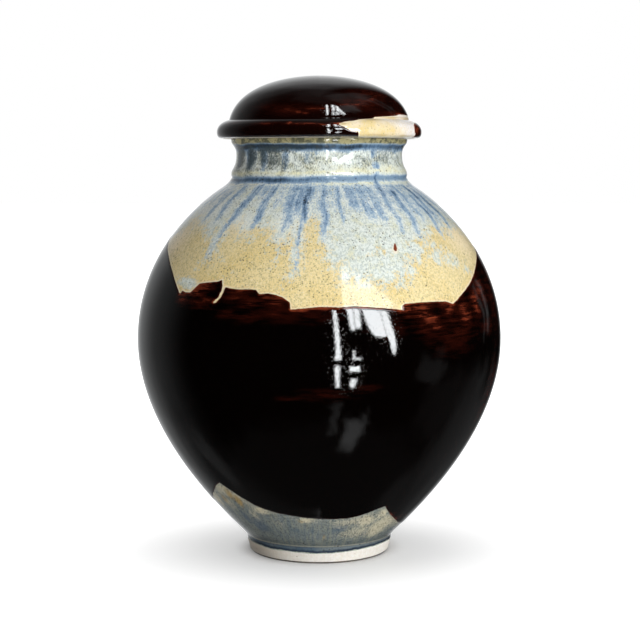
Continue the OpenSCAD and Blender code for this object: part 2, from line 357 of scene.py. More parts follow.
# Painted shade on the neck, darkest at its left under the flange, together with the glaze's own
# darker blue-grey blotches there and round the back
neck_shade_and_blotches = [
    (-52, 231, 5, 9, 1.15), (-68, 232, 8, 9, 1.15), (-40, 232, 4, 8, 0.9), (-33, 236, 13, 2.8, 1.0),
    (-32, 230.5, 8, 7, 0.85), (-22, 236, 7, 2, 0.9), (-23, 229, 2.4, 7, 0.75),
    (-14, 236.3, 8, 1.6, 0.6), (-8, 230, 12, 7, 0.5), (0, 236.5, 9, 1.4, 0.45),
    (14, 233, 14, 8, 0.34), (50, 233, 12, 6, 0.6), (52, 236.5, 10, 2, 0.55), (66, 231, 8, 9, 0.45),
    (-45, 226, 10, 2, 0.5), (-15, 231, 6, 6, 0.45), (32, 231, 10, 7, 0.48),
    (-52, 226, 12, 2.4, 0.6), (90, 231, 8, 8, 0.6), (118, 233, 10, 6, 0.5), (150, 231, 10, 8, 0.4),
    (-170, 232, 12, 7, 0.5), (-140, 231, 8, 8, 0.7), (-105, 232, 10, 7, 0.5)]
# Lower edge of the milky blue glaze, above the honey-coloured glaze of the shoulder, and places
# where each shows through the other. The first milky place, a whitish patch just above the dark
# pour at the left, is a painted glare.
honey_edge = [
    (-180, 184), (-176, 190), (-168, 196), (-160, 186), (-152, 176), (-146, 186), (-138, 196),
    (-128, 190), (-120, 180), (-112, 186), (-104, 195), (-96, 190), (-88, 184), (-79, 186),
    (-70, 192), (-66, 197.6), (-62.4, 199.4), (-53.3, 194.2), (-48.6, 191.1), (-43.4, 188.4),
    (-41.5, 176), (-39.6, 178), (-38.8, 192.8), (-38.5, 196.7), (-35.9, 197.6), (-32.1, 194.9),
    (-29.2, 190.6), (-27.6, 193.2), (-25.6, 194.8), (-21.3, 194.4), (-18.3, 193.4), (-15.4, 189),
    (-13.5, 184.7), (-12, 182.9), (-11.5, 187.2), (-9.1, 187.9), (-8.6, 172), (-7.4, 171),
    (-7, 192.3), (-6.2, 196.6), (-3.9, 198.5), (-1, 199.1), (0.4, 194.1), (1, 186.7), (1.6, 179.3),
    (2.7, 175.6), (5.3, 172.9), (7.9, 169.4), (11.9, 166.2), (15, 166.8), (18.9, 162.3),
    (23.2, 165.8), (27.7, 167.5), (31, 171), (33.4, 177.2), (36.3, 183.4), (40.1, 188.3),
    (43.8, 188.1), (51.8, 192.3), (65.9, 193.6), (77.7, 191.6), (84.6, 184), (92, 186), (100, 192),
    (108, 186), (114, 178), (120, 190), (130, 195), (138, 184), (146, 176), (152, 188), (160, 196),
    (168, 184), (176, 176), (180, 184)]
honey_spots = [
    (20.2, 183.3, 3.5, 3.5, 9), (23, 181.4, 4, 3, 9), (17.2, 180.3, 3, 3, 7), (8, 178, 4, 3, 4),
    (30, 176, 4, 4, 4)]
milk_and_glare_spots = [
    (-47, 163.6, 8, 3.4, 24), (52, 176, 7, 6, 14), (-46, 170, 4, 6, 5), (-26, 186, 5, 5, 7),
    (-20, 182, 5, 4, 6), (-35, 178, 4, 4, 6), (47, 180, 4, 4, 8), (39, 180, 6, 4, 8),
    (34, 169, 4, 3, 6), (-60, 190, 5, 4, 4), (-15, 176, 3, 4, 7), (60, 187, 4, 3, 7),
    (6, 164, 3, 3, 6), (28, 163, 4, 3, 6), (45, 178, 13, 8, 10), (59, 171, 9, 7, 9),
    (-12, 168, 3, 4, 5), (-30, 170, 3, 3, 5), (57, 172, 3, 3, 5)]
honey_reach = 9
# Whiter patches in the milky glaze at the left and the back
cloudy_spots = [
    (-13, 196, 8, 9, 0.5), (-33, 198, 10, 10, 0.55), (-56, 203, 14, 12, 0.6),
    (-120, 200, 20, 12, 0.4), (150, 202, 16, 12, 0.4)]
# Where thin glaze leaves cream on the neck
cream_marks = [(52, 226.2, 12, 1.6, 1), (22, 225.4, 12, 1.3, 0.9), (-5, 227, 5, 3, 0.6)]
# Soft patches in the thinner glaze near the foot: ochre, cream and blue. Cream ones lie on the
# sides of the shoulder too. The wide ochre patch low at the left lies on the bare clay and is
# painted shade, browning the foot's shaded side.
foot_glaze_top, foot_glaze_fade = 80 * MM, 10 * MM
tan_and_shade_spots = [
    (-40.5, 39, 2.6, 6, 1.3), (-44, 43, 4, 6, 1.0), (-51, 38, 5, 6, 0.7), (-55, 4, 22, 6, 0.8),
    (-9.5, 28.6, 2.2, 2.2, 0.8), (3.2, 17.5, 1.7, 4.5, 0.8), (-20, 17, 2, 3, 0.35),
    (18, 30, 3, 1.5, 0.4), (-165, 27, 3, 4, 0.9), (152, 30, 3, 6, 0.9), (120, 24, 2, 5, 0.7),
    (-120, 25, 3, 5, 0.7)]
cream_spots = [
    (68, 186, 20, 14, 0.9), (-68, 186, 18, 13, 0.8), (112, 190, 22, 14, 0.5),
    (-112, 190, 22, 14, 0.5), (-46, 43, 5, 6, 0.5), (-36, 31, 3, 5, 0.4), (-30, 34, 5, 3, 0.7),
    (-22, 27, 5, 5, 0.5), (-8, 29, 4, 3, 0.7), (27, 27.5, 7, 5, 1.0), (34, 31, 3, 4, 1.0),
    (24, 20, 14, 8, 0.7), (38, 22, 8, 9, 1.15), (12, 25, 9, 5, 0.5), (-50, 36, 6, 6, 0.6),
    (19, 27, 5, 3, 0.5), (38, 25, 2, 4, 0.4), (2, 24, 3, 3, 0.35), (-60, 36, 5, 8, 0.8),
    (100, 22, 8, 5, 0.7), (140, 36, 6, 6, 0.9), (-143, 40, 6, 5, 0.9), (180, 25, 8, 4, 0.6),
    (-110, 24, 8, 4, 0.6)]
slate_spots = [
    (-36, 22, 5, 7, 0.7), (-24, 20, 4, 5, 0.4), (-13.5, 22, 4, 4, 0.9), (-4.4, 22, 3, 5, 0.7),
    (12, 23, 6, 4, 0.9), (19, 20, 5, 4, 0.5), (30, 19, 4, 4, 0.5), (44, 22, 4, 4, 0.9),
    (-44, 27, 3, 6, 0.6), (60, 18, 6, 4, 0.6), (-70, 24, 6, 7, 0.6), (110, 18, 7, 4, 0.8),
    (160, 20, 8, 5, 0.8), (-150, 24, 8, 6, 0.8), (-95, 20, 7, 4, 0.7)]
# Places where iron specks gathered, and how far the bare clay reaches above its line on the foot
iron_spots = [
    (-6, 208, 2.4, 9, 1.0), (-12, 205, 2, 6, 0.5), (-37.5, 222, 1.6, 4, 1.0),
    (-23, 222.5, 1.2, 3, 1.0), (20, 215, 2.4, 2, 0.8), (-7, 192, 1.6, 8, 0.5),
    (-30, 231, 14, 5, 0.45), (-50, 233, 8, 5, 0.4), (4, 224, 9, 1.5, 0.6), (16, 223, 4, 2, 0.8),
    (0, 238, 9, 3, 0.5), (40, 208, 3, 10, 0.35), (-41, 182, 3, 6, 0.45), (-25, 31, 1.4, 1.4, 1.2),
    (-8, 29, 5, 3, 0.6), (30, 31, 8, 3, 0.7), (10, 26, 12, 4, 0.4), (150, 210, 3, 9, 0.7),
    (-120, 206, 3, 9, 0.7), (-170, 232, 10, 5, 0.5)]
clay_edge = [
    (-180, 0.2), (-130, 0.9), (-75, 0.9), (-55, 0.7), (-40, 0.1), (-25, 0.4), (-5, -0.2), (12, 0.0),
    (26, 0.5), (44, 0.9), (60, 1.1), (100, 0.4), (140, 0.9), (180, 0.2)]
# Where the dark glaze is thin and breaks to red: along its edges and over the throwing lines
thin_spots = [
    (-42, 161, 8, 4, 0.95), (-37, 162.5, 7, 3, 0.65), (-26, 160.5, 8, 2, 0.55),
    (-16, 158, 7, 2, 0.55), (-38, 155, 9, 3, 0.65), (-26, 159, 8, 4, 0.55), (-21, 155, 7, 3, 0.5),
    (-13, 156, 6, 4, 0.6), (-47, 156, 5, 4, 0.6), (-39, 152, 10, 1.6, 0.5), (-29, 149, 6, 2.5, 0.4),
    (-22, 147, 9, 2, 0.5), (-13, 150, 6, 3, 0.45), (-6, 152, 7, 2.2, 0.75),
    (2, 152.6, 9, 1.6, 0.75), (12, 152.4, 12, 1.2, 0.7), (23, 150.5, 5, 2.5, 0.7),
    (27, 151.5, 3, 4, 1.0), (32, 150.5, 8, 4, 1.0), (35, 146, 5, 1.6, 1.15), (42, 151, 6, 4, 1.0),
    (36, 140.3, 8, 1.1, 0.95), (34, 143, 9, 5, 0.65), (50, 147, 6, 8, 0.95), (57, 152, 6, 9, 0.85),
    (63, 158, 8, 9, 0.75), (63, 138, 8, 4, 0.6), (44, 140, 22, 14, 0.32), (20, 143, 12, 7, 0.3),
    (-25, 150, 28, 7, 0.1), (72, 150, 9, 20, 0.5), (79, 165, 9, 14, 0.6), (84, 125, 5, 50, 1.0),
    (-6, 151, 30, 6, 0.3), (-9, 104.6, 8, 1.2, 0.28), (14, 110, 9, 1.4, 0.32), (2, 107, 20, 4, 0.2),
    (70, 95, 9, 30, 0.3), (38, 30, 6, 1.6, 0.8), (48, 26, 8, 1.6, 0.7), (100, 174, 24, 8, 0.7),
    (125, 165, 12, 7, 0.85), (150, 158, 14, 6, 0.85), (175, 160, 20, 5, 0.7),
    (-160, 158, 14, 6, 0.8), (-143, 158, 9, 6, 0.85), (-120, 176, 16, 7, 0.7),
    (-95, 182, 20, 6, 0.6), (28, 184, 4, 6, 1.4)]

# The mesh is finer over the shoulder too, where the pale glaze ran.
runny_from, runny_to, runny_r = 188 * MM, 217 * MM, 56 * MM
pot_bm = spun(pot_outline)
refine(pot_bm, pour_distance, reaches=(3.6, 1.9))
runny = [e for e in pot_bm.edges if all(
    runny_from < v.co.z < runny_to and v.co.to_2d().length > runny_r for v in e.verts)]
bmesh.ops.subdivide_edges(pot_bm, edges=runny, cuts=1, use_grid_fill=True)
mesh, angles, run, radii, heights = closed_shell(pot_bm, "glazed_pot", pot_outline, pot_run)
outside = (run > clay_run - 0.1 * MM) & (run < rim_run)
pour = pour_distance(angles, run)


def lay_out(mesh, angles, radii, heights, sink):
    """Puts each vertex on its outline, moved into the wall by a depth."""
    round_jar = np.radians(angles)
    spot = np.column_stack([radii * np.sin(round_jar), -radii * np.cos(round_jar), heights])
    mesh.vertices.foreach_set("co", spot.astype(np.float32).ravel())
    mesh.update()
    out = np.empty(len(radii) * 3, np.float32)
    mesh.vertices.foreach_get("normal", out)
    spot -= out.reshape(-1, 3) * sink[:, None]
    mesh.vertices.foreach_set("co", spot.astype(np.float32).ravel())


def beside_coat(pour, slope):
    """One beside the second coat and nought on it, over a slope of a width in millimetres."""
    return 1 - held(pour / slope + 0.35)


# The pale coat lies 0.2 mm under the dark one, which has a low swell just inside its edge. Both
# follow faint throwing rings, given by their depth and spacing in millimetres and their phase.
coat, coat_sink, swell_height = 0.2 * MM, 0.08 * MM, 0.05 * MM
rings = sum(deep * MM * np.sin(heights / (apart * MM) * TURN + phase)
            for deep, apart, phase in ((0.006, 9.1, 0), (0.004, 5.3, 1)))
fade = held((run - arris_run) / (4 * MM)) * held((rim_run - run) / (3 * MM))
sink = coat * beside_coat(pour, 0.9) + coat_sink - swell_height * band(pour, 1.6, 1.0) - rings
lay_out(mesh, angles, radii, heights, sink * fade * outside)

belt = heights / MM + wavy(angles, 3, (3, 5, 9, 14, 23), 0.25)
climb = level(bead_climb, angles) * held((belt - climb_from) / 3) * held((climb_to - belt) / 3)
low_belt = belt - climb
blue = level(blue_levels, belt) * (1 + wavy(angles, 5, (2, 3, 5, 8, 17), 0.2))
blue *= 1 - 0.7 * band(angles, -40, 32)
for pool, column, at_belt in ((rim_pool, 1, belt), (bead_pool, 2, low_belt)):
    depth = level(pool, at_belt) * (1 + wavy(angles, 15 + column, (7, 13, 19), 0.06))
    blue = np.maximum(blue, depth * level(pool_levels, angles, column))
line = band(low_belt, 220.5, 1.7) + band(belt, 237.8, 2)
sway = wavy(heights / MM * 9, 7, (1, 2, 3), 0.5) + wavy(angles, 9, (41, 67), 0.35)
runs = blue_runs_at(angles + sway, heights, radii)
place = (angles, run, pot_outline[outer_part], pot_run[outer_part])
low = held((foot_glaze_top - heights) / foot_glaze_fade)
blue = np.where(low > 0, soft(slate_spots, *place), np.maximum(blue, runs))
honey = np.clip(edge_distance(honey_edge, *place), -honey_reach, honey_reach)
# Milky places lower the honey, and the first of them is a painted glare.
honey = honey + soft(honey_spots, *place) - soft(milk_and_glare_spots, *place) - 5 * held(runs - 0.1)
cream_line = 0.85 * band(low_belt, 224.3, 0.9) + 0.5 * band(low_belt, 217.8, 0.7)
cream_line = np.maximum(cream_line, soft(cream_marks, *place))
clay = np.maximum(clay_run - run, np.minimum(run - rim_run, throat_run - run)) / MM
clay += level(clay_edge, angles) * (heights < 20 * MM)
pot_layout = {
    "pour": pour, "blue": blue * outside, "honey": honey, "cream": soft(cream_spots, *place),
    "line": line, "cream_line": cream_line, "cloudy": soft(cloudy_spots, *place),
    "iron": soft(iron_spots, *place), "ochre": soft(tan_and_shade_spots, *place) + held((belt - 239.3) / 0.6),
    "thin": soft(thin_spots, *place), "low": low * outside, "shade": soft(neck_shade_and_blotches, *place),
    "clay": clay, "lining": held((run - throat_run) / (3 * MM)), "along": run,
    "height": heights / MM}


def placed(name, data):
    """An object of the scene that holds a mesh, lamp or camera."""
    made = bpy.data.objects.new(name, data)
    bpy.context.scene.collection.objects.link(made)
    return made


def finished_shell(mesh, layout, sharp_angle=32):
    """The piece, smooth but for its crisp edges, with its glaze layout kept on its vertices."""
    for key, values in layout.items():
        layer = mesh.attributes.new(key, "FLOAT", "POINT")
        layer.data.foreach_set("value", np.asarray(values, np.float32))
    mesh.polygons.foreach_set("use_smooth", [True] * len(mesh.polygons))
    mesh.set_sharp_from_angle(angle=math.radians(sharp_angle))
    return placed(mesh.name, mesh)


# Node trees of the looks made so far. New nodes go into the last one.
looks = []


def new_look(block):
    """Clears the nodes of a material or the world, and makes it the look that nodes go into."""
    block.use_nodes = True
    block.node_tree.nodes.clear()
    looks.append(block.node_tree)


def node(kind, inputs=None, **settings):
    """Outputs of one shader node. Its inputs are values or other nodes' sockets."""
    made = looks[-1].nodes.new("ShaderNode" + kind)
    for key, value in settings.items():
        setattr(made, key, value)
    for key, value in (inputs or {}).items():
        if isinstance(value, bpy.types.NodeSocket):
            looks[-1].links.new(value, made.inputs[key])
        else:
            made.inputs[key].default_value = value
    return made.outputs


def calc(operation, result, *others):
    """One operation carried along a row of values or sockets."""
    for other in others or (0,):
        result = node("Math", {0: result, 1: other}, operation=operation)[0]
    return result


def product(*values):
    """Product of values or sockets."""
    return calc("MULTIPLY", *values)


def total(*values):
    """Sum of values or sockets."""
    return calc("ADD", *values)


def span(value, low, high, to=(0, 1), kind="SMOOTHSTEP"):
    """A value brought from its range low..high to another range, and held at its ends."""
    ends = {"Value": value, "From Min": low, "From Max": high, "To Min": to[0], "To Max": to[1]}
    return node("MapRange", ends, interpolation_type=kind)[0]


def mixed(share, a, b):
    """A colour that goes from one to another as the share goes from nought to one."""
    a, b = (c if isinstance(c, bpy.types.NodeSocket) else (*c, 1) for c in (a, b))
    return node("Mix", {0: share, 6: a, 7: b}, data_type="RGBA")[2]


def layered(base, *layers, kind="SMOOTHSTEP"):
    """A colour with others laid over it in turn. Each is a tint, the pattern that it follows, the
    pattern's values where it starts and where it is full, and at times the most that it covers."""
    for tint, pattern, start, full, *most in layers:
        base = mixed(span(pattern, start, full, (0, *(most or [1])), kind), base, tint)
    return base


def noise(place, scale, detail, rough, bent=0):
    """A cloudy pattern over a place, finer with a larger scale."""
    return node("TexNoise", {"Vector": place, "Scale": scale, "Detail": detail, "Roughness": rough,
                             "Distortion": bent})["Fac"]


def varied(value, *patterns):
    """A value raised and lowered by patterns, each with its size."""
    for pattern, size in patterns:
        value = total(value, product(calc("SUBTRACT", pattern, 0.5), size))
    return value


def mark(name):
    """A layout value that the piece's vertices carry."""
    return node("Attribute", attribute_name=name)["Fac"]


def specks(at, cells_per_metre, size, share):
    """Round specks of iron, in a share of the cells."""
    cells = node("TexVoronoi", {"Vector": at, "Scale": cells_per_metre, "Randomness": 1})
    chance = node("SeparateColor", {0: cells["Color"]})[0]
    return product(span(cells["Distance"], size, size * 0.5), calc("LESS_THAN", chance, share))


# Both glazes are fired to a glassy skin. The ash glaze is honey-coloured where it is thin and milky
# or blue where it pooled and ran, with iron specks, and the iron glaze over it is nearly black, or
# red where thin.
def stoneware(name, iron_specks, reddish, honey_light, honey_dark):
    look = bpy.data.materials.new(name)
    new_look(look)
    at = node("TexCoord")["Object"]
    parts = node("SeparateXYZ", {0: at})
    flat = node("CombineXYZ", {0: parts[0], 1: parts[1]})[0]
    bearing = node("VectorMath", {0: flat}, operation="NORMALIZE")[0]
    ring = node("SeparateXYZ", {0: bearing})
    along, high, low, edge, bare_edge, ochre, thinness = (
        mark(key) for key in ("along", "height", "low", "pour", "clay", "ochre", "thin"))

    def drawn(stretch):
        """Place in which a pattern runs down the pot: the stretch is its fineness that way."""
        down = product(along, stretch)
        return node("CombineXYZ", {0: ring[0], 1: ring[1], 2: down})[0]

    grain = noise(drawn(8), 85, 2, 0.7)
    fleck = noise(drawn(9), 150, 1, 0.5)
    streak = noise(drawn(1.9), 34, 3, 0.6)
    lines = noise(drawn(150), 8, 4, 0.7, 0.3)
    flakes = noise(drawn(30), 36, 3, 0.75, 0.3)
    strokes = noise(drawn(62), 9, 3, 0.6, 0.4)
    cloud = noise(at, 34, 3, 0.55)
    mottle = noise(at, 210, 3, 0.7)
    ragged = noise(at, 380, 3, 0.6)

    # Pale ash glaze, milky where thick and gold where thin
    above_foot = span(low, 0.5, 0)
    milk = layered((0.75, 0.78, 0.72), ((0.68, 0.67, 0.47), mottle, 0.44, 0.64, 0.75),
                   ((0.45, 0.5, 0.46), grain, 0.56, 0.38, 0.78))
    gold = layered(honey_light, ((0.78, 0.6, 0.26), cloud, 0.4, 0.62),
                   (honey_dark, grain, 0.56, 0.36, 0.66),
                   ((0.85, 0.74, 0.5), fleck, 0.54, 0.72, 0.7))
    bright = varied(product(mark("cream"), above_foot), (grain, 1.2))
    gold = layered(gold, ((0.95, 0.79, 0.51), bright, 0.1, 1))
    honey = varied(mark("honey"), (streak, 14), (grain, 18), (mottle, 26))
    colour = layered(milk, (gold, honey, -4.5, 4.5))
    thin_line = product(mark("cream_line"), span(mottle, 0.36, 0.6, (0.45, 0.95)))
    colour = mixed(thin_line, colour, (0.8, 0.76, 0.5))
    cloudy = product(mark("cloudy"), span(mottle, 0.3, 0.6, (0.5, 1)))
    colour = mixed(cloudy, colour, (0.9, 0.91, 0.84))

    # Blue where it pooled and ran, broken up by the patterns but even in the pooled lines
    line = mark("line")
    even_line = span(line, 0.1, 0.7, (1, 0.3))
    run_down = total(span(streak, 0.3, 0.62, (0.5, 1.3), "LINEAR"), -1)
    blue = product(mark("blue"), total(product(run_down, even_line), 1))
    rough = product(span(blue, 0, 0.3), above_foot, even_line)
    blue = varied(blue, (grain, product(rough, -1.8)), (mottle, product(rough, 1.2)))
    colour = layered(
        colour, ((0.43, 0.53, 0.61), blue, 0.05, 0.42), ((0.23, 0.34, 0.48), blue, 0.38, 0.9),
        ((0.08, 0.14, 0.225), blue, 0.85, 1.35), ((0.02, 0.035, 0.055), blue, 1.25, 1.9))
    grey_line = product(line, span(blue, 0.3, 0.7), span(blue, 1.2, 0.8), 0.35)
    colour = mixed(grey_line, colour, (0.15, 0.22, 0.25))
    # Painted shade over the neck, broken up by the glaze's mottle and grain
    shade = varied(mark("shade"), (mottle, 1.1), (grain, -1.3))
    shade = product(span(shade, 0.1, 0.95, (0, 0.92)), span(mark("shade"), 0, 0.1))
    colour = mixed(shade, colour, (0.06, 0.08, 0.085))
    olive = layered((0.12, 0.12, 0.075), ((0.4, 0.36, 0.19), mottle, 0.42, 0.58),
                    ((0.52, 0.36, 0.13), high, 243.5, 244))
    colour = mixed(product(ochre, span(high, 200, 210)), colour, olive)

    # At the foot the same glaze is greyer, with a pool of deep blue over the bare clay.
    pale = total(mark("cream"), span(edge, -8, -1.5, (0, 0.36)))
    slate = layered(
        (0.31, 0.33, 0.28), ((0.21, 0.25, 0.26), streak, 0.38, 0.62),
        ((0.11, 0.13, 0.13), lines, 0.5, 0.64, 0.5), ((0.06, 0.075, 0.08), high, 16, 11.3, 0.45),
        ((0.12, 0.17, 0.23), varied(mark("blue"), (cloud, 1.6)), 0.2, 0.9, 0.8),
        ((0.7, 0.64, 0.46), varied(pale, (cloud, 1.2), (grain, 1.2)), 0.25, 1),
        ((0.5, 0.36, 0.15), varied(ochre, (mottle, 0.8)), 0.3, 1),
        ((0.07, 0.09, 0.095), grain, 0.48, 0.34, 0.75))
    pooled = layered((0.08, 0.12, 0.16), ((0.17, 0.2, 0.21), cloud, 0.35, 0.6),
                     ((0.03, 0.045, 0.07), varied(bare_edge, (mottle, 2)), -2.6, -1.2),
                     ((0.5, 0.52, 0.42), varied(bare_edge, (mottle, 1.6)), -0.7, -0.2))
    slate = layered(slate, (pooled, high, 10.2, 9.8))
    arris = product(span(high, 10, 10.4), span(high, 11.2, 10.7), 0.4)
    colour = mixed(low, colour, mixed(arris, slate, (0.62, 0.58, 0.46)))
    colour = mixed(mark("lining"), colour, mixed(cloud, (0.62, 0.55, 0.36), (0.5, 0.5, 0.4)))

    dust = product(specks(at, 900, 0.4, 0.65), span(mottle, 0.4, 0.6, (0.06, 0.45)))
    drops = product(specks(at, 560, 0.3, 0.5), span(cloud, 0.35, 0.6, (0.3, 0.85)))
    blots = specks(at, 210, 0.14, 0.16)
    gathered = product(specks(at, 430, 0.36, 0.6), span(mark("iron"), 0.1, 0.7))
    iron = product(calc("MAXIMUM", dust, drops, blots, gathered), iron_specks)
    colour = mixed(iron, colour, (0.035, 0.03, 0.022))

    # Dark iron glaze, with a thin pale halo above its edge and red where it is thin
    pour = varied(edge, (ragged, 0.7))
    halo = product(span(pour, -1.2, -0.2), span(low, 1, 0), span(cloud, 0.4, 0.6, (0.2, 0.8)))
    colour = mixed(halo, colour, (0.84, 0.74, 0.55))
    worn = total(product(lines, 0.3), product(strokes, 0.7))
    rim = product(span(pour, 1.5, 0.2), span(flakes, 0.4, 0.6, (0.5, 1.4)),
                  total(product(thinness, 0.8), 0.42))
    texture = span(worn, 0.42, 0.6, (0.3, 1.45), "LINEAR")
    thin = total(product(thinness, texture), rim, reddish)
    dark = layered((0.0008, 0.0003, 0.0002), ((0.022, 0.0032, 0.0015), thin, 0.05, 0.45),
                   ((0.085, 0.0145, 0.0065), thin, 0.45, 0.8),
                   ((0.19, 0.035, 0.013), thin, 0.8, 1.4), kind="LINEAR")
    covered = span(pour, -0.1, 0.1)
    colour = mixed(covered, colour, dark)

    # Bare clay where the jar stands and where the lid seats
    bare = span(varied(bare_edge, (ragged, 0.63)), -0.08, 0.12)
    pits = specks(at, 300, 0.13, 0.2)
    sand = layered((0.88, 0.81, 0.73), ((0.96, 0.92, 0.86), noise(at, 700, 3, 0.6), 0.3, 0.75))
    # Ochre browns the bare clay: on the rim, and as painted shade at the left of the foot.
    sand = mixed(product(ochre, 0.7), sand, (0.62, 0.5, 0.36))
    # Painted contact shadow: the clay darkens to near black along the bottom edge of the foot.
    sand = layered(sand, ((0.08, 0.06, 0.045), high, 1.15, 0.7))
    sand = mixed(product(pits, 0.7), sand, (0.3, 0.22, 0.14))
    colour = mixed(product(bare, span(streak, 0.35, 0.6, (0.9, 1))), colour, sand)

    # Glossy glaze over dull clay. The skin has a faint orange peel, pinholes at the specks, and a
    # grain and pits in the clay, each a pattern times its height in millimetres where it shows.
    clay_rough = 0.75
    gloss = total(span(noise(at, 60, 2, 0.5), 0.3, 0.7, (0.05, 0.09)), product(covered, -0.04))
    gloss = node("Mix", {0: bare, 2: gloss, 3: clay_rough}, data_type="FLOAT")[0]
    skin = total(*(product(*pattern) for pattern in (
        (noise(at, 330, 2, 0.5), 0.012), (noise(drawn(30), 60, 2, 0.6), 0.006),
        (noise(at, 1100, 2, 0.6), covered, 0.01), (specks(at, 1300, 0.4, 0.25), covered, -0.006),
        (iron, calc("SUBTRACT", 1, covered), -0.03), (noise(at, 1500, 3, 0.7), bare, 0.08),
        (pits, bare, -0.12))))
    bump = node("Bump", {"Height": skin, "Strength": 1, "Distance": MM})
    shader = node("BsdfPrincipled", {
        "Base Color": colour, "Roughness": gloss, "IOR": 1.58, "Normal": bump[0]})
    node("OutputMaterial", {"Surface": shader[0]})
    return look


pot = finished_shell(mesh, pot_layout)
pot.data.materials.append(stoneware(
    "pot_glaze", iron_specks=0.95, reddish=0, honey_light=(0.82, 0.67, 0.355),
    honey_dark=(0.49, 0.4, 0.195)))
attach(pot, "pot")
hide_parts("pot")

# The lid is a second thrown piece: a dome with a rolled flange that rests on the rim, and a ring
# under it that was turned to fit inside the mouth. Its seat and ring were wiped clean of glaze.
flange_r, flange_h, seat_r = 59.8 * MM, pot_top + 3.8 * MM, 55.4 * MM
dome_r, groove_h, lid_top, lid_wall = 52.6 * MM, 253.8 * MM, 279.6 * MM, 5 * MM
ring_r, ring_inner_r, ring_depth, ring_round = 42.3 * MM, 37.8 * MM, 9 * MM, 1.125 * MM
hollow_r, ring_foot = dome_r - lid_wall - 3 * MM, pot_top - ring_depth
hollow_shares = (0.42, 0.4)
lid_outline = np.vstack([
    even(curve((0, lid_top - lid_wall, LEVEL), (hollow_r, groove_h, 2 * LEVEL), hollow_shares),
         2.5 * MM),
    even(curve((hollow_r, groove_h, 2 * LEVEL), (ring_inner_r, pot_top, 2 * LEVEL), hollow_shares),
         1.5 * MM)[1:],
    [[ring_inner_r, ring_foot + ring_round], [ring_inner_r + ring_round, ring_foot],
     [ring_r - ring_round, ring_foot], [ring_r, ring_foot + ring_round], [ring_r, pot_top],
     [seat_r, pot_top]],
    even(curve((seat_r, pot_top, LEVEL), (flange_r, flange_h, 0), (0.5, 0.55)), 0.5 * MM)[1:],
    even(curve((flange_r, flange_h, 0), (dome_r, groove_h, -78), (0.31, 0.48)), 0.6 * MM)[1:],
    even(curve((dome_r, groove_h, -14), (0, lid_top, -LEVEL), (0.415, 0.18)), 0.9 * MM)[1:]])
lid_run = lengths(lid_outline)
seat_run = run_at(lid_outline, lid_run, seat_r, pot_top)
ring_run = run_at(lid_outline, lid_run, ring_inner_r, ring_foot + ring_round)
lid_outer = lid_run >= seat_run

# A wedge of the pale glaze was left bare of the dark one at the right of the front.
wedge = [
    (10.5, 250.5), (14, 251.5), (20, 252.3), (24, 253), (33, 253.6), (36.5, 254.5), (45, 254.9),
    (55, 255.4), (61, 256.3), (73, 256.4), (88, 256.1), (98, 254.8), (104, 253.3), (92, 252.9),
    (80, 252.4), (74, 252), (70, 251.3), (67, 250), (65.5, 248), (65.8, 246.6), (67, 245.3),
    (67, 243.2), (22, 243.2), (21.3, 245.2), (21, 245.9), (17, 246.6), (14.5, 247.8), (13.5, 248.5),
    (11, 249.8), (10.5, 250.5)]
# Where the lid's dark glaze is thin, on its crown, edges and groove
lid_thin_spots = [
    (0, 279.5, 60, 20, 0.5), (-12, 257, 2.5, 0.9, 0.9), (-8.5, 256.6, 2, 0.7, 0.7),
    (-20, 258.5, 10, 2.6, 0.3), (-3.7, 258.7, 6, 1.4, 0.55), (4.6, 258.7, 6, 1.2, 0.5),
    (21.6, 261.1, 9, 1.3, 0.5), (-37.2, 260.6, 8, 1.6, 0.2), (39, 264.4, 9, 1.6, 0.5),
    (30, 262, 14, 4, 0.35), (55, 257, 12, 1.2, 0.4), (70, 263, 10, 6, 0.2), (75, 268, 12, 6, 0.2),
    (45, 268, 16, 5, 0.3), (-16.4, 250.9, 1.6, 0.9, 1.3), (-8, 250.4, 8, 0.8, 0.7),
    (9, 250.4, 3, 0.8, 1.2), (2, 250, 6, 0.8, 0.7), (-60, 252, 10, 1.5, 0.4),
    (-30, 251, 8, 1.2, 0.5), (70, 249, 3.5, 4, 1.25), (82, 248, 8, 4, 0.85), (110, 250, 16, 3, 0.6),
    (140, 251, 14, 2, 0.7), (175, 251, 14, 2, 0.6), (-150, 251, 16, 2, 0.7),
    (-110, 251, 16, 2, 0.6), (110, 262, 14, 6, 0.5), (150, 259, 16, 3, 0.6),
    (-165, 260, 16, 4, 0.5), (-120, 258, 16, 3, 0.5)]
# Ochre where the wedge's glaze gathered in the groove and at its tip
lid_tan_spots = [
    (12.5, 250.7, 2.5, 1.2, 1.0), (32, 253, 8, 0.7, 0.8), (50, 254.4, 12, 0.8, 0.9),
    (72, 254.3, 12, 0.9, 0.9), (34, 244.2, 8, 0.7, 0.5), (55, 244, 8, 0.7, 0.5)]


def lid_pour_distance(angles, run):
    """Distance in millimetres inside the dark glaze of the lid, negative on its wedge and seat."""
    place = (angles, run, lid_outline[lid_outer], lid_run[lid_outer])
    from_seat = (run - seat_run) / MM - (1.9 + wavy(angles, 11, (7, 13, 22, 31), 0.25))
    inside = np.minimum(-edge_distance(wedge, *place, wrap=(0,)), from_seat)
    return np.where(run >= seat_run, inside, CLEAR)


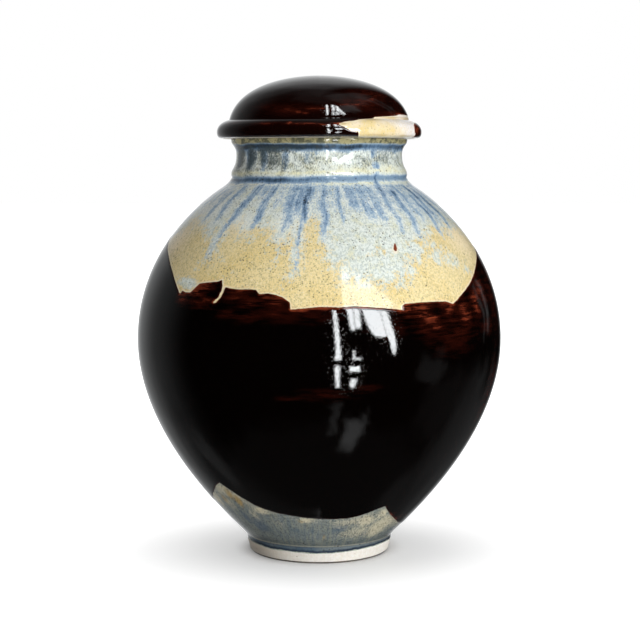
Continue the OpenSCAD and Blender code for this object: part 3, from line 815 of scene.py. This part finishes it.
lid_bm = spun(lid_outline)
refine(lid_bm, lid_pour_distance, reaches=(2.4, 1.2))
mesh, angles, run, radii, heights = closed_shell(lid_bm, "glazed_lid", lid_outline, lid_run)
pour = lid_pour_distance(angles, run)
lid_coat, lid_sink = 0.16 * MM, 0.03 * MM
fade = held((run - seat_run) / (3 * MM))
lay_out(mesh, angles, radii, heights, (lid_coat * beside_coat(pour, 0.8) + lid_sink) * fade)
place = (angles, run, lid_outline[lid_outer], lid_run[lid_outer])
on_top = run >= seat_run
all_honey = np.full(len(run), 25.0)
lid = finished_shell(mesh, {
    "pour": pour, "honey": all_honey, "ochre": soft(lid_tan_spots, *place) * on_top,
    "thin": soft(lid_thin_spots, *place) * on_top,
    "clay": np.minimum(run - ring_run, seat_run - run) / MM + 0.6,
    "lining": np.where(run < ring_run + MM, 1, 0), "along": run, "height": heights / MM})
lid.data.materials.append(stoneware(
    "lid_glaze", iron_specks=0.35, reddish=0.12, honey_light=(0.9, 0.86, 0.86),
    honey_dark=(0.76, 0.62, 0.42)))
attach(lid, "lid")
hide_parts("lid")

# The table is a pale board. Camera rays see a glow on it that is weakest next to the foot and
# rises to white away from the jar, a painted soft round shadow over the softbox's own, and the
# glaze doesn't mirror it, as the real jar's dark glaze mirrors a dim room.
board_bm = bmesh.new()
bmesh.ops.create_grid(board_bm, x_segments=1, y_segments=1, size=8)
table = placed("table", kept(board_bm, "table"))
table.visible_glossy = False
board = bpy.data.materials.new("pale_board")
new_look(board)
spot = node("TexCoord")["Object"]
reach = node("VectorMath", {0: spot}, operation="LENGTH")["Value"]
oval = node("VectorMath", {0: spot, 1: (1, 1.5, 1)}, operation="MULTIPLY")[0]
oval = node("VectorMath", {0: oval}, operation="LENGTH")["Value"]
# Painted shadow: the glow is least at the foot, in an oval round the jar, and white far out
glow_with_painted_shadow = total(span(reach, 0.038, 0.052, (0.1, 0.42)), span(oval, 0.05, 0.16, (0, 0.15)),
             span(reach, 0.2, 0.7, (0, 0.45)))
seen_glow = product(node("LightPath")["Is Camera Ray"], glow_with_painted_shadow)
paint = node("BsdfDiffuse", {"Color": (0.8, 0.8, 0.8, 1)})
shine = node("Emission", {"Strength": seen_glow})
both = node("AddShader", {0: paint[0], 1: shine[0]})
node("OutputMaterial", {"Surface": both[0]})
table.data.materials.append(board)

# The studio: a white backdrop behind the jar, and a dim room round the camera, which only mirrored
# rays see. Camera rays see white on every side, and diffuse rays a low even light.
scene = bpy.context.scene
scene.view_settings.view_transform = "Standard"
scene.world = bpy.data.worlds.new("studio")
new_look(scene.world)
towards = node("TexCoord")["Generated"]
way = node("SeparateXYZ", {0: towards})
wander = product(calc("SUBTRACT", noise(towards, 5, 3, 0.6), 0.5), 22)
azimuth = product(calc("ARCTAN2", way[0], product(way[1], -1)), math.degrees(1))
elevation = total(product(calc("ARCSINE", way[2]), math.degrees(1)), wander)
bearing = total(azimuth, wander)


def glow_patch(turn, tilt, blur, strength):
    """A soft lit patch of the room between two azimuths and two elevations."""
    edges = ((bearing, turn[0], blur), (bearing, turn[1], -blur),
             (elevation, tilt[0], blur), (elevation, tilt[1], -blur))
    return product(*(span(way, edge - half, edge + half) for way, edge, half in edges), strength)


# Both sides brighten towards the backdrop, sooner on the left, most at the height of the jar.
sides = total(*(span(azimuth, *side) for side in (
    (-85, -125, (0, 0.1)), (-120, -150, (0, 0.15)), (-148, -176, (0, 0.35)),
    (157, 176, (0, 0.65)))))
room = product(sides, span(elevation, 76, 10, (0.08, 1.5)), span(elevation, -50, -5, (0.2, 1)))
patches = (
    ((75, 160), (-42, -18), 8, 0.035), ((66, 84), (-20, -6), 4, 0.1),
    ((112, 165), (-60, -14), 8, 0.04), ((22, 38), (-60, -44), 4, 0.5),
    ((8, 14), (-56, -38), 3, 0.2), ((-200, 200), (-120, -48), 7, 0.026),
    ((-200, 200), (70, 120), 6, 0.06), ((52, 144), (52, 82), 4, 0.12),
    ((28, 68), (42, 60), 4, 0.4), ((114, 120), (24, 62), 3, 0.12), ((125, 129), (24, 62), 2, 0.1),
    ((132.5, 135.5), (1, 14), 1.5, 0.2), ((124, 127), (-2, 13), 1.5, 0.14),
    ((-125, -108), (-50, -36), 5, 0.08), ((-200, 200), (-45, 50), 8, 0.003))
room = total(room, *(glow_patch(*patch) for patch in patches))
path = node("LightPath")
fill = node("Background", {"Strength": span(azimuth, 40, 110, (0.19, 0.42)), "Color": (1, 1, 1, 1)})
dim = node("Background", {"Strength": room, "Color": (0.97, 0.99, 1, 1)})
white = node("Background", {"Strength": 1, "Color": (1, 1, 1, 1)})
mirrored = calc("MAXIMUM", path["Is Glossy Ray"], path["Is Transmission Ray"])
other_rays = node("MixShader", {0: mirrored, 1: fill[0], 2: dim[0]})
studio = node("MixShader", {0: path["Is Camera Ray"], 1: other_rays[0], 2: white[0]})
node("OutputWorld", {"Surface": studio[0]})

# A tall window to the right of the camera lights the jar. Its panes lie in one plane and are given
# in millimetres across and up from the plane's middle, as bright lower panes and dimmer upper ones.
window_turn, window_tilt, window_away = math.radians(30), math.radians(20), 1.7
facing = Vector((math.sin(window_turn) * math.cos(window_tilt),
                 -math.cos(window_turn) * math.cos(window_tilt), math.sin(window_tilt)))
window_middle = Vector((0, 0, 0.16)) + facing * window_away
across = Vector((math.cos(window_turn), math.sin(window_turn), 0))
upwards = across.cross(facing)
if upwards.z < 0:
    upwards.negate()
bright_panes = [
    [(-617, 141), (-558, 131), (-560, -290), (-583, -700), (-590, -925), (-742, -925), (-680, -708),
     (-649, -283)], [(-640, -1068), (-755, -1077), (-780, -1500), (-792, -1874), (-692, -1862),
     (-670, -1480)], [(-366, 130), (-250, 120), (-264, -285), (-328, -280)], [(-236, 118),
     (-134, 104), (-142, -267), (-250, -258)], [(-104, 90), (206, 66), (262, -200), (322, -457),
     (210, -470), (100, -446), (40, -350), (-20, -240)], [(218, 64), (332, 22), (405, -172),
     (455, -330), (486, -455), (520, -570), (532, -680), (520, -800), (500, -845), (470, -790),
     (418, -668), (380, -540), (336, -457), (276, -210)], [(-370, -872), (-163, -872), (-163, -905),
     (-370, -905)], [(-322, -690), (-300, -690), (-296, -872), (-340, -872)], [(-430, -1070),
     (-192, -1068), (-215, -1150), (-187, -1240), (-432, -1247)], [(-412, -1472), (-234, -1455),
     (-290, -1560), (-300, -1800), (-409, -1808)]]
dim_panes = [
    [(-366, 136), (-404, 307), (-330, 640), (-252, 1010), (-246, 1010), (-238, 560), (-252, 124)],
    [(-236, 122), (-226, 560), (-222, 1020), (-150, 1043), (-110, 1000), (-118, 500), (-134, 108)],
    [(-104, 94), (-96, 500), (-88, 970), (60, 760), (130, 660), (180, 300), (206, 70)], [(218, 68),
     (196, 300), (146, 640), (214, 522), (400, 310), (576, 93), (332, 26)]]
# The lid mirrors the same window higher up, through the glazing bars.
lid_panes = [
    [(-512, 600), (-432, 595), (-199, 1761), (-271, 1797)], [(-298, 568), (-195, 550), (22, 1637),
     (-66, 1667)], [(-160, 552), (-37, 549), (121, 1354), (60, 1500)], [(0, 549), (204, 532),
     (106, 931), (77, 1163)]]


def lights_only(lamp, pieces):
    """Lets a lamp light these pieces alone."""
    lit = bpy.data.collections.new(lamp.name + "_lights")
    for piece in pieces:
        lit.objects.link(piece)
    lamp.light_linking.receiver_collection = lit
    lamp.visible_camera = False


def lit_panes(name, panes, strength, pieces):
    """Panes of sky that light some of the jar's pieces."""
    panes_bm = bmesh.new()
    for pane in panes:
        corners = [window_middle + across * u * MM + upwards * v * MM for u, v in pane]
        panes_bm.faces.new([panes_bm.verts.new(corner) for corner in corners])
    window = placed(name, kept(panes_bm, name))
    sky = bpy.data.materials.new(name + "_sky")
    new_look(sky)
    lit = node("Emission", {"Color": (0.95, 0.98, 1, 1), "Strength": strength})
    node("OutputMaterial", {"Surface": lit[0]})
    window.data.materials.append(sky)
    lights_only(window, pieces)


lit_panes("window", bright_panes, 18, (pot, lid))
lit_panes("veiled_window", dim_panes, 5.8, (pot,))
lit_panes("window_bars", lid_panes, 17.6, (lid,))

# A wide soft box overhead lights the table alone, and the window lights the jar alone, so that the
# jar keeps its one-sided light over a soft round shadow.
softbox_width, softbox_watts, softbox_up = 4, 80, 2.2
softbox = placed("softbox", bpy.data.lights.new("softbox", "AREA"))
softbox.data.shape, softbox.data.size = "SQUARE", softbox_width
softbox.data.energy = softbox_watts
softbox.location = (0, 0, softbox_up)
lights_only(softbox, (table,))

# The camera stands level with the jar's neck and looks down a little, as in the photograph.
camera_down, sensor, lens = math.radians(5.667), 36, 88.48
camera = placed("camera", bpy.data.cameras.new("camera"))
camera.data.sensor_width, camera.data.lens = sensor, lens
camera.location = (0.45 * MM, -926.3 * MM, 228.4 * MM)
camera.rotation_euler = (math.pi / 2 - camera_down, 0, 0)
scene.camera = camera
